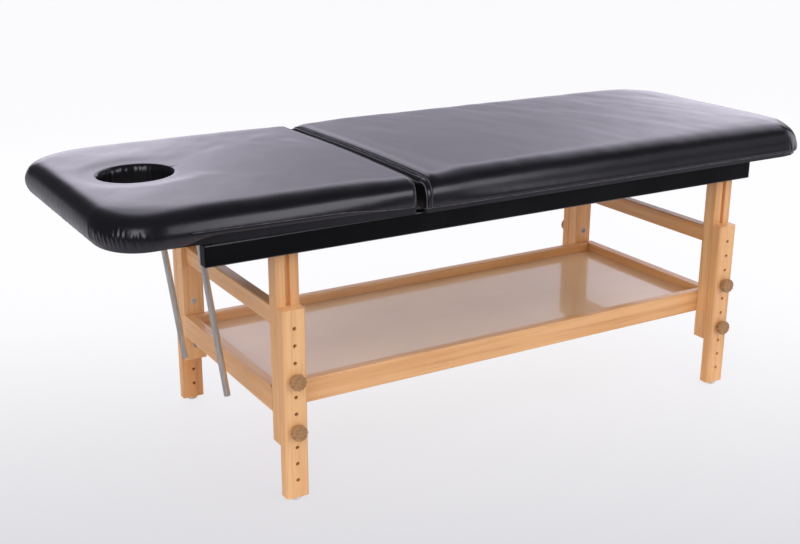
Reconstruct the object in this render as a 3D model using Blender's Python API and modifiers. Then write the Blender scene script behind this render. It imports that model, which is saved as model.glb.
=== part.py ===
"""A massage table with a lifting head section.

Two upholstered boards lie on a painted top frame. Four legs slide in grooved posts and are set by knob
bolts, so the table stands at one of seven heights. A shelf tray ties the posts low down, and two steel
props hang under the head section. Metres, +Z up. X runs from the head end to the foot end, Y from the
near side to the far side, and the origin is on the floor under the middle of the table.
"""

import math

import bmesh
import bpy
from mathutils import Matrix, Vector

# The two sections of the top, along X.
head_length = 0.699
joint_gap = 0.016
body_length = 1.226
cushion_half_width = 0.350
table_length = head_length + joint_gap + body_length
head_end_x = -table_length / 2
foot_end_x = table_length / 2
joint_x = head_end_x + head_length + joint_gap / 2

# Clearances between neighbours, and how far every cutter runs past the faces that it cuts.
seat_gap = 0.0003
overrun = 0.004
weld_distance = 0.00003

# Rounding of sawn edges, and the angle under which neighbouring faces are shaded as one.
edge_segments = 2
smooth_angle = math.radians(35)
quarter_turn = math.pi / 2

# The lower legs, which carry a row of holes and a tongue down the inner face.
leg_spacing = 1.2732
foot_overhang = 0.2684
leg_width = 0.056
leg_thickness = 0.0284
leg_edge_radius = 0.007
leg_inner_edge_radius = 0.002
leg_edge_steps = 3
hole_pitch = 0.040
hole_count = 10
hole_end_margin = 0.0425
hole_radius = 0.0046
hole_sides = 12
tongue_width = 0.0110
tongue_depth = 0.0090
tongue_side_clearance = 0.0004
leg_length = (hole_count - 1) * hole_pitch + 2 * hole_end_margin
leg_foot_x = foot_end_x - foot_overhang
leg_head_x = leg_foot_x - leg_spacing
leg_places = {"head": leg_head_x, "foot": leg_foot_x}
sides = {"near": -1, "far": 1}

# The glides under the legs.
glide_radius = 0.0125
glide_rim_radius = 0.0105
glide_height = 0.008
glide_rim_height = 0.002
glide_steps = 20
leg_bottom_z = glide_height + seat_gap

# Height settings: the bolts pass this many pitches apart, with as many pitches of travel each way.
steps_each_way = 3
bolt_spacing_pitches = 3
lowest_hole_z = leg_bottom_z + hole_end_margin
lower_bolt_z = lowest_hole_z + steps_each_way * hole_pitch
upper_bolt_z = lower_bolt_z + bolt_spacing_pitches * hole_pitch
bolt_heights = {"lower": lower_bolt_z, "upper": upper_bolt_z}

# The top frame: a painted rail along each side over the legs.
leg_head_room = 0.004
rail_height = 0.047
rail_thickness = 0.0284
rail_edge_radius = 0.0025
rail_head_overhang = 0.1939
rail_foot_overhang = 0.0564
rail_bottom_z = leg_bottom_z + leg_length + steps_each_way * hole_pitch + leg_head_room
rail_top_z = rail_bottom_z + rail_height

# The fixed posts, with a groove for the leg's tongue. The legs' outer faces lie in from the cushions'
# sides by the frame's inset.
frame_inset = 0.0215
post_width = 0.056
post_thickness = 0.0375
post_edge_radius = 0.003
post_edge_steps = 2
post_tail = 0.040
leg_outer_y = cushion_half_width - frame_inset
leg_inner_y = leg_outer_y - leg_thickness
post_outer_y = leg_inner_y - seat_gap
post_inner_y = post_outer_y - post_thickness
post_bottom_z = lower_bolt_z - post_tail
post_length = rail_top_z - seat_gap - post_bottom_z
groove_width = tongue_width + 2 * tongue_side_clearance
groove_depth = tongue_depth + tongue_side_clearance

# Knob bolts and the tee nuts that they screw into.
knob_radius = 0.0185
knob_lobe_depth = 0.0016
knob_lobes = 12
knob_points_per_lobe = 4
knob_length = 0.016
knob_edge_radius = 0.0025
knob_collar_radius = 0.011
knob_collar_length = 0.004
knob_collar_sides = 20
stud_radius = 0.004
stud_sides = 14
nut_flange_radius = 0.0080
nut_flange_thickness = 0.0016
nut_barrel_radius = 0.0053
nut_barrel_length = 0.010
nut_bore_radius = 0.0044
nut_steps = 16
nut_recess = 0.0014
nut_clearance = 0.0003
nut_hole_run_on = 0.001
stud_length = seat_gap + leg_outer_y - post_inner_y - nut_recess

# The cross rail between each pair of posts. It lies low enough for the props to swing over it.
cross_rail_thickness = 0.0288
cross_rail_edge_radius = 0.003
cross_rail_height = 0.0435
cross_rail_top_z = 0.438
cross_rail_length = 2 * (post_inner_y - seat_gap)

# The shelf tray: four rails with a groove, and the panel that lies in it.
shelf_rail_top_z = 0.257
shelf_rail_height = 0.058
shelf_rail_thickness = 0.024
shelf_edge_radius = 0.003
shelf_end_corner_radius = 0.010
shelf_panel_thickness = 0.009
shelf_panel_drop = 0.0245
shelf_groove_depth = 0.008
shelf_panel_clearance = 0.0003
shelf_outer_x = leg_spacing / 2 + post_width / 2
shelf_middle_x = (leg_head_x + leg_foot_x) / 2
shelf_panel_top_z = shelf_rail_top_z - shelf_panel_drop

# The boards under the two cushions.
body_board_thickness = 0.0097
head_board_thickness = 0.0175
body_board_inset = 0.007
head_board_inset = 0.012
board_joint_radius = 0.004
board_joint_inset = 0.0005
corner_steps = 5

# The cushions: how far the top rounds over at the sides and at the joint, and how the sides draw in.
body_foam_height = 0.0900
head_foam_height = 0.0750
body_corner_radius = 0.102
head_corner_radius = 0.128
cushion_joint_radius = 0.006
side_round_width = 0.090
side_round_height_share = 0.86
joint_round_width = 0.012
side_draw_in = 0.005
body_crown_height = 0.011
head_crown_height = 0.006
crown_strip_half_width = 0.030
side_height_shares = (0.0, 0.16, 0.42, 0.72, 1.0)
side_draw_in_shares = (1.0, 0.35, 0.0, 0.0, 0.0)
round_steps = 5
crown_steps = 3

# The face hole. The cover is drawn down into it, so its mouth is a wide and shallow flare.
hole_from_head_end = 0.178
face_hole_radius = 0.078
face_hole_flare_width = 0.045
face_hole_flare_depth = 0.034
face_hole_sides = 28
flare_steps = 5

# The head section turns about pins in the joint, near the top of its cushion.
hinge_below_head_top = 0.0285
head_rest_tilt = math.radians(0.8)
hinge_spacing = 0.400
hinge_width = 0.066
hinge_plate_thickness = 0.0022
hinge_pin_radius = 0.0040
hinge_pin_clearance = 0.0003
hinge_knuckle_gap = 0.0003
hinge_sides = 20
hinge_board_lap_share = 0.7
head_board_z = rail_top_z + seat_gap
body_board_z = rail_top_z + seat_gap
head_top_z = head_board_z + head_board_thickness + seat_gap + head_foam_height
hinge_z = head_top_z - hinge_below_head_top
hinge_barrel_radius = joint_gap / 2 - seat_gap
hinge_pivot = Vector((joint_x, 0, hinge_z))

# The pads that the head board lies on, at the end of the side rails.
pad_length = 0.036
pad_width = 0.022
pad_from_rail_end = 0.020

# The props: steel tubes on a pin in a bracket under the head board.
prop_spacing = 0.262
prop_before_post = 0.1334
prop_radius = 0.0075
prop_bore_radius = 0.0063
prop_length = 0.430
prop_pin_from_end = 0.0085
prop_sides = 20
prop_lean = math.radians(7.5)
prop_pin_below_board = 0.0150
prop_pin_radius = 0.0030
prop_pin_clearance = 0.0003
prop_pin_head_radius = 0.0050
prop_pin_head_length = 0.0020
prop_pin_steps = 14
bracket_sheet = 0.0020
bracket_side_clearance = 0.0004
bracket_length = 0.034
bracket_cheek_width = 0.018
bracket_cheek_round_share = 0.9
bracket_below_pin = 0.0085
bracket_foot_width = 0.012

# Colours as they look on the real object, as red, green and blue.
finishes = {
    "wood": ((0.66, 0.37, 0.17), 0.45, 0.0),
    "black_paint": ((0.012, 0.011, 0.013), 0.38, 0.0),
    "vinyl": ((0.016, 0.015, 0.020), 0.36, 0.0),
    "laminate": ((0.66, 0.52, 0.45), 0.18, 0.0),
    "steel": ((0.48, 0.49, 0.50), 0.32, 1.0),
    "bright_steel": ((0.75, 0.75, 0.74), 0.22, 1.0),
    "knob_plastic": ((0.42, 0.22, 0.10), 0.40, 0.0),
    "pale_rubber": ((0.72, 0.70, 0.66), 0.60, 0.0),
    "dark_rubber": ((0.02, 0.02, 0.02), 0.70, 0.0),
}

for old in list(bpy.data.objects):
    bpy.data.objects.remove(old, do_unlink=True)

table_parts = bpy.data.collections.new("massage_table")
cutters = bpy.data.collections.new("cutters")
cutters.hide_render = True
for group in (table_parts, cutters):
    bpy.context.scene.collection.children.link(group)


def finish_material(finish):
    """The Principled material of this finish, made once for each piece that asks."""
    colour, roughness, metallic = finishes[finish]
    material = bpy.data.materials.new(finish)
    material.use_nodes = True
    shader = material.node_tree.nodes["Principled BSDF"]
    shader.inputs["Base Color"].default_value = (*colour, 1)
    shader.inputs["Roughness"].default_value = roughness
    shader.inputs["Metallic"].default_value = metallic
    return material


def mesh_of(shape):
    """A mesh datablock holding what was built in this bmesh."""
    mesh = bpy.data.meshes.new("shape")
    bmesh.ops.recalc_face_normals(shape, faces=shape.faces)
    shape.to_mesh(mesh)
    shape.free()
    return mesh


def box(size, centre=(0, 0, 0)):
    """A box of this size about this centre."""
    shape = bmesh.new()
    place = Matrix.Translation(centre) @ Matrix.Diagonal((*size, 1))
    bmesh.ops.create_cube(shape, size=1, matrix=place)
    return mesh_of(shape)


def cylinder(radius, start, end, segments):
    """A cylinder from one point to another."""
    start, end = Vector(start), Vector(end)
    along = end - start
    shape = bmesh.new()
    turn = along.to_track_quat("Z", "Y").to_matrix().to_4x4()
    place = Matrix.Translation((start + end) / 2) @ turn
    bmesh.ops.create_cone(
        shape,
        cap_ends=True,
        segments=segments,
        radius1=radius,
        radius2=radius,
        depth=along.length,
        matrix=place,
    )
    return mesh_of(shape)


def evaluated_mesh(holder):
    """The mesh that this object shows once its modifiers have run."""
    bpy.context.view_layer.update()
    graph = bpy.context.evaluated_depsgraph_get()
    return bpy.data.meshes.new_from_object(holder.evaluated_get(graph))


def extruded(outlines, thickness, edge_radius=0.0):
    """A flat outline, with any further outlines as holes, from Z 0 up to this thickness.

    With an edge radius, a slope that wide is added all round the outline.
    """
    curve = bpy.data.curves.new("outline", "CURVE")
    curve.dimensions = "2D"
    curve.fill_mode = "BOTH"
    curve.extrude = thickness / 2 - edge_radius
    curve.bevel_depth = edge_radius
    curve.bevel_resolution = 0
    for points in outlines:
        spline = curve.splines.new("POLY")
        spline.points.add(len(points) - 1)
        for corner, (x, y) in zip(spline.points, points):
            corner.co = (x, y, 0, 1)
        spline.use_cyclic_u = True
    holder = bpy.data.objects.new("outline", curve)
    cutters.objects.link(holder)
    mesh = evaluated_mesh(holder)
    bpy.data.objects.remove(holder)
    shape = bmesh.new()
    shape.from_mesh(mesh)
    bmesh.ops.remove_doubles(shape, verts=shape.verts, dist=weld_distance)
    bmesh.ops.translate(shape, verts=shape.verts, vec=(0, 0, thickness / 2))
    return mesh_of(shape)


def turned(profile, steps):
    """A profile of (radius, height) points, top to bottom, turned about Z."""
    mesh = bpy.data.meshes.new("profile")
    edges = [(i, i + 1) for i in range(len(profile) - 1)]
    mesh.from_pydata([(radius, 0, height) for radius, height in profile], edges, [])
    holder = bpy.data.objects.new("profile", mesh)
    cutters.objects.link(holder)
    screw = holder.modifiers.new("turn", "SCREW")
    screw.steps = screw.render_steps = steps
    screw.use_merge_vertices = True
    screw.merge_threshold = weld_distance
    result = evaluated_mesh(holder)
    bpy.data.objects.remove(holder)
    return result


def moved(mesh, location=(0, 0, 0), turn=None):
    """The mesh, turned and then shifted."""
    mesh.transform(Matrix.Translation(location) @ (turn or Matrix.Identity(4)))
    return mesh


# Stands a flat outline up across the table: its X becomes Y, its Y becomes Z, and its thickness X.
across_table = Matrix(((0, 0, 1), (1, 0, 0), (0, 1, 0))).to_4x4()


def combined(base, operation, others):
    """The base mesh with the others cut from it or joined to it."""
    holder = bpy.data.objects.new("base", base)
    cutters.objects.link(holder)
    helpers = []
    for number, other in enumerate(others):
        helper = bpy.data.objects.new("tool", other)
        helper.display_type = "WIRE"
        helper.hide_render = True
        cutters.objects.link(helper)
        helpers.append(helper)
        step = holder.modifiers.new(f"step {number}", "BOOLEAN")
        step.operation = operation
        step.solver = "EXACT"
        step.object = helper
    result = evaluated_mesh(holder)
    for helper in (*helpers, holder):
        bpy.data.objects.remove(helper)
    return result


def bevelled(mesh, width):
    """The mesh with its sharp edges rounded."""
    holder = bpy.data.objects.new("base", mesh)
    cutters.objects.link(holder)
    bevel = holder.modifiers.new("edges", "BEVEL")
    bevel.width = width
    bevel.segments = edge_segments
    bevel.limit_method = "ANGLE"
    result = evaluated_mesh(holder)
    bpy.data.objects.remove(holder)
    return result


def place(name, mesh, finish, location=(0, 0, 0), turn_z=0.0, parent=None):
    """Makes a named piece of the table from this mesh."""
    piece = bpy.data.objects.new(name, mesh)
    if not mesh.materials:
        mesh.materials.append(finish_material(finish))
        mesh.shade_smooth()
        mesh.set_sharp_from_angle(angle=smooth_angle)
    piece.parent = parent
    piece.location = location
    piece.rotation_euler = (0, 0, turn_z)
    table_parts.objects.link(piece)
    return piece


def empty(name, location, parent=None):
    """An empty on a joint's axis, which the moving pieces hang on."""
    holder = bpy.data.objects.new(name, None)
    holder.location = location
    holder.parent = parent
    table_parts.objects.link(holder)
    return holder


def rounded_outline(x_low, x_high, y_low, y_high, radii, steps):
    """A rectangle's outline, anticlockwise from its low corner, with a radius for each corner."""
    corners = (
        (x_low, y_low, 1, 1),
        (x_high, y_low, -1, 1),
        (x_high, y_high, -1, -1),
        (x_low, y_high, 1, -1),
    )
    points = []
    for number, (corner, radius) in enumerate(zip(corners, radii)):
        x, y, inward_x, inward_y = corner
        centre_x, centre_y = x + inward_x * radius, y + inward_y * radius
        start = math.pi + number * quarter_turn
        for step in range(steps + 1 if radius else 1):
            angle = start + quarter_turn * step / steps
            points.append((centre_x + radius * math.cos(angle), centre_y + radius * math.sin(angle)))
    return points


# Lower legs: a rounded bar with a tongue down its inner face and a row of through holes.
def leg_section():
    """The leg's section, outer face towards -Y, with the tongue on the inner face."""
    half = leg_width / 2
    outer = rounded_outline(
        -half,
        half,
        -leg_thickness,
        0,
        (leg_edge_radius, leg_edge_radius, leg_inner_edge_radius, leg_inner_edge_radius),
        leg_edge_steps,
    )
    split = 3 * (len(outer) // 4)
    tongue = [(tongue_width / 2, 0), (tongue_width / 2, tongue_depth)]
    mirrored = [(-x, y) for x, y in reversed(tongue)]
    return outer[:split] + tongue + mirrored + outer[split:]


leg_mesh = combined(
    extruded([leg_section()], leg_length),
    "DIFFERENCE",
    [
        cylinder(
            hole_radius,
            (0, -leg_thickness - overrun, hole_end_margin + number * hole_pitch),
            (0, tongue_depth + overrun, hole_end_margin + number * hole_pitch),
            hole_sides,
        )
        for number in range(hole_count)
    ],
)

# Posts: a thicker bar with a groove down its outer face, and two stepped bolt holes.
def post_section():
    """The post's section, outer face towards -Y, with the groove in it."""
    half = post_width / 2
    outer = rounded_outline(-half, half, 0, post_thickness, (post_edge_radius,) * 4, post_edge_steps)
    split = len(outer) // 4
    groove = [(-groove_width / 2, 0), (-groove_width / 2, groove_depth)]
    mirrored = [(-x, y) for x, y in reversed(groove)]
    return outer[:split] + groove + mirrored + outer[split:]


flange_reach = nut_recess + nut_flange_thickness
post_holes = []
for bolt_z in bolt_heights.values():
    height = bolt_z - post_bottom_z
    for radius, reach in (
        (hole_radius, post_thickness + overrun),
        (nut_barrel_radius + nut_clearance, flange_reach + nut_barrel_length + nut_hole_run_on),
        (nut_flange_radius + nut_clearance, flange_reach + nut_clearance),
    ):
        start = (0, post_thickness + overrun, height)
        post_holes.append(cylinder(radius, start, (0, post_thickness - reach, height), nut_steps))
post_mesh = combined(extruded([post_section()], post_length), "DIFFERENCE", post_holes)

# Foot glides: a turned disc with a rounded rim.
glide_mesh = turned(
    [
        (0, glide_height),
        (glide_radius, glide_height),
        (glide_radius, glide_rim_height),
        (glide_rim_radius, 0),
        (0, 0),
    ],
    glide_steps,
)


# Knob bolts: a fluted moulded head and a collar on a steel stud. The stud points along +Y.
def knob_outline():
    """The fluted outline of the knob's head."""
    count = knob_lobes * knob_points_per_lobe
    points = []
    for number in range(count):
        angle = 2 * math.pi * number / count
        wave = (1 + math.cos(knob_lobes * angle)) / 2
        radius = knob_radius - knob_lobe_depth * (1 - wave) - knob_edge_radius
        points.append((radius * math.cos(angle), radius * math.sin(angle)))
    return points


def knob_bolt():
    """The knob, its collar and its stud as one moulded piece, the seat of the collar at Y 0."""
    head = extruded([knob_outline()], knob_length, knob_edge_radius)
    moved(head, (0, -knob_collar_length, 0), Matrix.Rotation(quarter_turn, 4, "X"))
    inside = -knob_collar_length - knob_length / 2
    collar = cylinder(knob_collar_radius, (0, inside, 0), (0, 0, 0), knob_collar_sides)
    stud = cylinder(stud_radius, (0, inside, 0), (0, stud_length, 0), stud_sides)
    return combined(head, "UNION", [collar, stud])


knob_mesh = knob_bolt()

# Tee nuts: a flange let into the post's inner face and a barrel pressed into the hole.
nut_mesh = moved(
    turned(
        [
            (nut_bore_radius, nut_flange_thickness),
            (nut_flange_radius, nut_flange_thickness),
            (nut_flange_radius, 0),
            (nut_barrel_radius, 0),
            (nut_barrel_radius, -nut_barrel_length),
            (nut_bore_radius, -nut_barrel_length),
            (nut_bore_radius, nut_flange_thickness),
        ],
        nut_steps,
    ),
    turn=Matrix.Rotation(-quarter_turn, 4, "X"),
)

# The far side's pieces are the near side's, turned half round.
for end, leg_x in leg_places.items():
    for side, sign in sides.items():
        turn_z = 0 if side == "near" else math.pi
        corner = f"{side}_{end}"
        place(f"leg_{corner}", leg_mesh, "wood", (leg_x, sign * leg_inner_y, leg_bottom_z), turn_z)
        place(f"post_{corner}", post_mesh, "wood", (leg_x, sign * post_outer_y, post_bottom_z), turn_z)
        glide_y = sign * (leg_inner_y + leg_thickness / 2)
        place(f"foot_glide_{corner}", glide_mesh, "pale_rubber", (leg_x, glide_y, 0))
        for level, bolt_z in bolt_heights.items():
            knob_place = (leg_x, sign * (leg_outer_y + seat_gap), bolt_z)
            place(f"knob_bolt_{corner}_{level}", knob_mesh, "knob_plastic", knob_place, turn_z)
            nut_y = sign * (post_inner_y + nut_recess + nut_flange_thickness)
            nut_place = (leg_x, nut_y, bolt_z)
            place(f"tee_nut_{corner}_{level}", nut_mesh, "bright_steel", nut_place, turn_z)

# Side rails of the top frame, outside the posts and flush with the legs.
rail_start_x = leg_head_x - rail_head_overhang
rail_length = leg_foot_x + rail_foot_overhang - rail_start_x
side_rail_mesh = bevelled(
    box(
        (rail_length, rail_thickness, rail_height),
        (rail_length / 2, -rail_thickness / 2, rail_height / 2),
    ),
    rail_edge_radius,
)
place("side_rail_near", side_rail_mesh, "black_paint", (rail_start_x, -leg_inner_y, rail_bottom_z))
far_rail_place = (rail_start_x + rail_length, leg_inner_y, rail_bottom_z)
place("side_rail_far", side_rail_mesh, "black_paint", far_rail_place, math.pi)

# The cross rails, one between each pair of posts.
cross_rail_centre_z = cross_rail_top_z - cross_rail_height / 2
cross_rail_size = (cross_rail_thickness, cross_rail_length, cross_rail_height)
cross_rail_mesh = bevelled(box(cross_rail_size), cross_rail_edge_radius)
for end, leg_x in leg_places.items():
    place(f"cross_rail_{end}", cross_rail_mesh, "wood", (leg_x, 0, cross_rail_centre_z))

# The shelf tray between the posts. The end rails lie across, and the long rails butt them.
shelf_outer_y = post_inner_y - seat_gap
shelf_inner_x = shelf_outer_x - shelf_rail_thickness
shelf_inner_y = shelf_outer_y - shelf_rail_thickness
shelf_centre_z = shelf_rail_top_z - shelf_rail_height / 2
shelf_groove_size = (
    2 * (shelf_inner_x + shelf_groove_depth + shelf_panel_clearance),
    2 * (shelf_inner_y + shelf_groove_depth + shelf_panel_clearance),
    shelf_panel_thickness + 2 * shelf_panel_clearance,
)
shelf_panel_z = shelf_panel_top_z - shelf_panel_thickness / 2
shelf_end_outline = rounded_outline(
    -shelf_outer_y,
    shelf_outer_y,
    -shelf_rail_height / 2,
    shelf_rail_height / 2,
    (0, 0, shelf_end_corner_radius, shelf_end_corner_radius),
    corner_steps,
)
for end, sign in (("head", -1), ("foot", 1)):
    rail_x = sign * (shelf_outer_x - shelf_rail_thickness / 2)
    rail = extruded([shelf_end_outline], shelf_rail_thickness)
    rail = bevelled(moved(rail, (-shelf_rail_thickness / 2, 0, 0), across_table), shelf_edge_radius)
    groove = box(shelf_groove_size, (-rail_x, 0, shelf_panel_z - shelf_centre_z))
    rail = combined(rail, "DIFFERENCE", [groove])
    place(f"shelf_end_rail_{end}", rail, "wood", (shelf_middle_x + rail_x, 0, shelf_centre_z))
for side, sign in sides.items():
    rail_y = sign * (shelf_outer_y - shelf_rail_thickness / 2)
    rail_size = (2 * (shelf_inner_x - seat_gap), shelf_rail_thickness, shelf_rail_height)
    rail = bevelled(box(rail_size), shelf_edge_radius)
    groove_size = (rail_size[0] + 2 * overrun, *shelf_groove_size[1:])
    groove = box(groove_size, (0, -rail_y, shelf_panel_z - shelf_centre_z))
    rail = combined(rail, "DIFFERENCE", [groove])
    place(f"shelf_long_rail_{side}", rail, "wood", (shelf_middle_x, rail_y, shelf_centre_z))
panel_size = (
    2 * (shelf_inner_x + shelf_groove_depth),
    2 * (shelf_inner_y + shelf_groove_depth),
    shelf_panel_thickness,
)
place("shelf_panel", box(panel_size), "laminate", (shelf_middle_x, 0, shelf_panel_z))


# Boards and cushions.
def board_outline(joint_end_x, outer_end_x, inset, corner_radius):
    """A board's outline, square at the joint and round at its outer corners."""
    half = cushion_half_width - inset
    outward = 1 if outer_end_x > joint_end_x else -1
    low, high = sorted((joint_end_x + outward * board_joint_inset, outer_end_x - outward * inset))
    outer_first = outward < 0
    pair = (corner_radius - inset, board_joint_radius)
    low_radius, high_radius = pair if outer_first else reversed(pair)
    radii = (low_radius, high_radius, high_radius, low_radius)
    return rounded_outline(low, high, -half, half, radii, corner_steps)


def cushion(joint_end_x, outer_end_x, foam_height, crown_height, corner_radius):
    """A crowned cushion from Z 0 up, drawn in at its seam, rounded at the sides and boxed at the joint.

    It is a loft through outlines of unlike corners, each as far inside the cushion's edge as its
    height asks. The joint end draws in and rounds far less than the sides do.
    """
    outward = 1 if outer_end_x > joint_end_x else -1
    edge_z = foam_height - crown_height
    side_round_height = edge_z * side_round_height_share
    side_top_z = edge_z - side_round_height
    rings = []
    for height_share, draw_share in zip(side_height_shares, side_draw_in_shares):
        rings.append((side_draw_in * draw_share, 0.0, side_top_z * height_share, 0.0))
    for step in range(1, round_steps + 1):
        angle = quarter_turn * step / round_steps
        rise = side_top_z + side_round_height * math.sin(angle)
        inward = 1 - math.cos(angle)
        rings.append((side_round_width * inward, joint_round_width * inward, rise, 0.0))
    for step in range(1, crown_steps + 1):
        crown_share = step / crown_steps
        rise = edge_z + crown_height * (1 - (1 - crown_share) ** 2)
        rings.append((side_round_width, joint_round_width, rise, crown_share))
    middle_x = (joint_end_x + outer_end_x) / 2
    shape = bmesh.new()
    loops = []
    for side_inset, joint_inset, height, crown_share in rings:
        joint_x_here = joint_end_x + outward * joint_inset
        outer_x_here = outer_end_x - outward * side_inset
        half_here = cushion_half_width - side_inset
        reach = half_here - crown_strip_half_width
        half_here -= reach * crown_share
        joint_x_here += outward * min(reach * crown_share, abs(middle_x - joint_x_here))
        outer_x_here -= outward * min(reach * crown_share, abs(middle_x - outer_x_here) - seat_gap)
        low, high = sorted((joint_x_here, outer_x_here))
        least = min(crown_strip_half_width, high - low) / 2
        outer_radius = max(least, (corner_radius - side_inset) * (1 - crown_share))
        joint_radius = min(cushion_joint_radius, least)
        low_radius, high_radius = (
            (joint_radius, outer_radius) if outward > 0 else (outer_radius, joint_radius)
        )
        radii = (low_radius, high_radius, high_radius, low_radius)
        outline = rounded_outline(low, high, -half_here, half_here, radii, corner_steps)
        loops.append([shape.verts.new((x, y, height)) for x, y in outline])
    for below, above in zip(loops, loops[1:]):
        for number, corner in enumerate(below):
            following = (number + 1) % len(below)
            shape.faces.new((corner, below[following], above[following], above[number]))
    shape.faces.new(reversed(loops[0]))
    shape.faces.new(loops[-1])
    return mesh_of(shape)


def face_hole_cutter(top_z, bottom_z):
    """A straight throat whose mouth flares out in a quarter of an ellipse."""
    mouth_radius = face_hole_radius + face_hole_flare_width
    profile = [(0, top_z + overrun), (mouth_radius, top_z + overrun)]
    for step in range(flare_steps + 1):
        angle = quarter_turn * step / flare_steps
        radius = mouth_radius - face_hole_flare_width * math.sin(angle)
        profile.append((radius, top_z - face_hole_flare_depth * (1 - math.cos(angle))))
    profile += [(face_hole_radius, bottom_z), (0, bottom_z)]
    return turned(profile, face_hole_sides)


body_start_x = joint_x + joint_gap / 2
outline = board_outline(body_start_x, foot_end_x, body_board_inset, body_corner_radius)
board = extruded([outline], body_board_thickness)
place("body_board", board, "vinyl", (0, 0, body_board_z))
body_foam = cushion(
    body_start_x, foot_end_x, body_foam_height, body_crown_height, body_corner_radius
)
place("body_cushion", body_foam, "vinyl", (0, 0, body_board_z + body_board_thickness + seat_gap))

# The head section hangs on an empty at the hinge axis, tilted as it rests on its pads.
head_axis = empty("head_axis", hinge_pivot)
head_axis.rotation_euler = (0, head_rest_tilt, 0)
head_joint_end = -joint_gap / 2
head_outer_end = head_joint_end - head_length
face_hole_x = head_outer_end + hole_from_head_end
board_bottom = head_board_z - hinge_z
face_circle = [
    (
        face_hole_x + face_hole_radius * math.cos(2 * math.pi * number / face_hole_sides),
        face_hole_radius * math.sin(2 * math.pi * number / face_hole_sides),
    )
    for number in range(face_hole_sides)
]
outline = board_outline(head_joint_end, head_outer_end, head_board_inset, head_corner_radius)
board = extruded([outline, face_circle], head_board_thickness)
place("head_board", board, "vinyl", (0, 0, board_bottom), parent=head_axis)
foam_bottom = board_bottom + head_board_thickness + seat_gap
head_foam = cushion(
    head_joint_end, head_outer_end, head_foam_height, head_crown_height, head_corner_radius
)
hole_tool = moved(face_hole_cutter(head_foam_height, -overrun), (face_hole_x, 0, 0))
head_foam = combined(head_foam, "DIFFERENCE", [hole_tool])
place("head_cushion", head_foam, "vinyl", (0, 0, foam_bottom), parent=head_axis)


# Hinges: two plates that stand in the joint, each with its knuckles round one pin.
def hinge_leaf(direction, plate_bottom, knuckles):
    """A leaf with its plate on the side that direction gives, and knuckles as (start, end) along Y."""
    barrel = hinge_barrel_radius
    plate_x = direction * (barrel - hinge_plate_thickness / 2)
    plate_top = -barrel - hinge_knuckle_gap
    half = hinge_width / 2
    plate = box(
        (hinge_plate_thickness, hinge_width, plate_top - plate_bottom),
        (plate_x, 0, (plate_top + plate_bottom) / 2),
    )
    joined = []
    for start, end in knuckles:
        tab_low = plate_top - hinge_plate_thickness
        length = end - start
        middle = (start + end) / 2 - half
        tab_size = (hinge_plate_thickness, length, -tab_low)
        joined.append(box(tab_size, (plate_x, middle, tab_low / 2)))
        joined.append(cylinder(barrel, (0, start - half, 0), (0, end - half, 0), hinge_sides))
    leaf = combined(plate, "UNION", joined)
    bore = cylinder(
        hinge_pin_radius + hinge_pin_clearance,
        (0, -half - overrun, 0),
        (0, half + overrun, 0),
        hinge_sides,
    )
    return combined(leaf, "DIFFERENCE", [bore])


third = hinge_width / 3
clear_half = hinge_knuckle_gap / 2
outer_knuckles = [(0, third - clear_half), (2 * third + clear_half, hinge_width)]
middle_knuckle = [(third + clear_half, 2 * third - clear_half)]
head_leaf_bottom = board_bottom + head_board_thickness * (1 - hinge_board_lap_share)
body_leaf_bottom = body_board_z - hinge_z + body_board_thickness * (1 - hinge_board_lap_share)
head_leaf_mesh = hinge_leaf(-1, head_leaf_bottom, outer_knuckles)
body_leaf_mesh = hinge_leaf(1, body_leaf_bottom, middle_knuckle)
pin_mesh = cylinder(
    hinge_pin_radius,
    (0, -hinge_width / 2, 0),
    (0, hinge_width / 2, 0),
    hinge_sides,
)
for side, sign in sides.items():
    hinge_y = sign * hinge_spacing / 2
    place(f"hinge_head_leaf_{side}", head_leaf_mesh, "steel", (0, hinge_y, 0), parent=head_axis)
    place(f"hinge_body_leaf_{side}", body_leaf_mesh, "steel", (joint_x, hinge_y, hinge_z))
    place(f"hinge_pin_{side}", pin_mesh, "steel", (joint_x, hinge_y, hinge_z))


# Rest pads: they fill the wedge between the side rails and the tilted head board.
pad_outer_x = rail_start_x + pad_from_rail_end
pad_inner_x = pad_outer_x + pad_length
board_underside_z = (
    hinge_z
    + (joint_x - pad_inner_x) * math.tan(head_rest_tilt)
    + board_bottom / math.cos(head_rest_tilt)
)
pad_height = board_underside_z - rail_top_z - 2 * seat_gap
pad_mesh = box((pad_length, pad_width, pad_height))
for side, sign in sides.items():
    pad_y = sign * (leg_inner_y + rail_thickness / 2)
    pad_place = ((pad_outer_x + pad_inner_x) / 2, pad_y, rail_top_z + seat_gap + pad_height / 2)
    place(f"rest_pad_{side}", pad_mesh, "dark_rubber", pad_place)


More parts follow.
